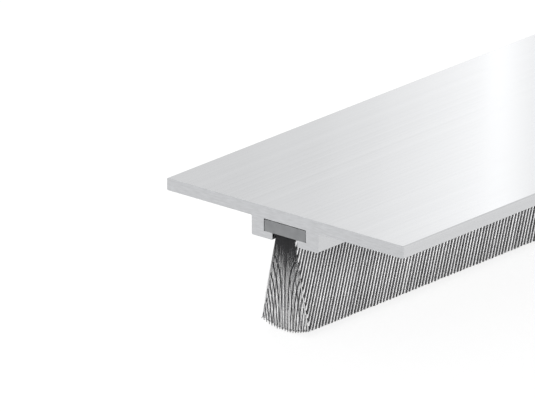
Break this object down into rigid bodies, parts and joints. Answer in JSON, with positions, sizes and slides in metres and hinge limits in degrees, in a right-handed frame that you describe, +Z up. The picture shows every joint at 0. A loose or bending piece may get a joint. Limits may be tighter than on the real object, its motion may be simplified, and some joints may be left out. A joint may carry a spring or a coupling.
{
  "type": "door brush seal",
  "caption": "Door-bottom brush seal: a flat aluminium carrier with a T-slot channel that holds a sliding strip of black filaments.",
  "frame": {"origin": "centre of the plate's top face, which is fixed against the bottom edge of the door", "axes": "+X across the plate, +Y along the seal, +Z up into the door, with the brush hanging down"},
  "size_m": [0.04, 0.914, 0.0163],
  "materials": {
    "aluminium": "satin",
    "backing_plastic": "matte",
    "filament": "satin"
  },
  "bodies": {
    "carrier": {"carrier": "aluminium"},
    "brush": {"brush_backing": "backing_plastic", "bristles": "filament"}
  },
  "joints": [
    {"name": "brush_slide", "type": "slide", "parent": "carrier", "child": "brush", "axis": [0, -1, 0], "range_m": [0, 0.914]}
  ]
}
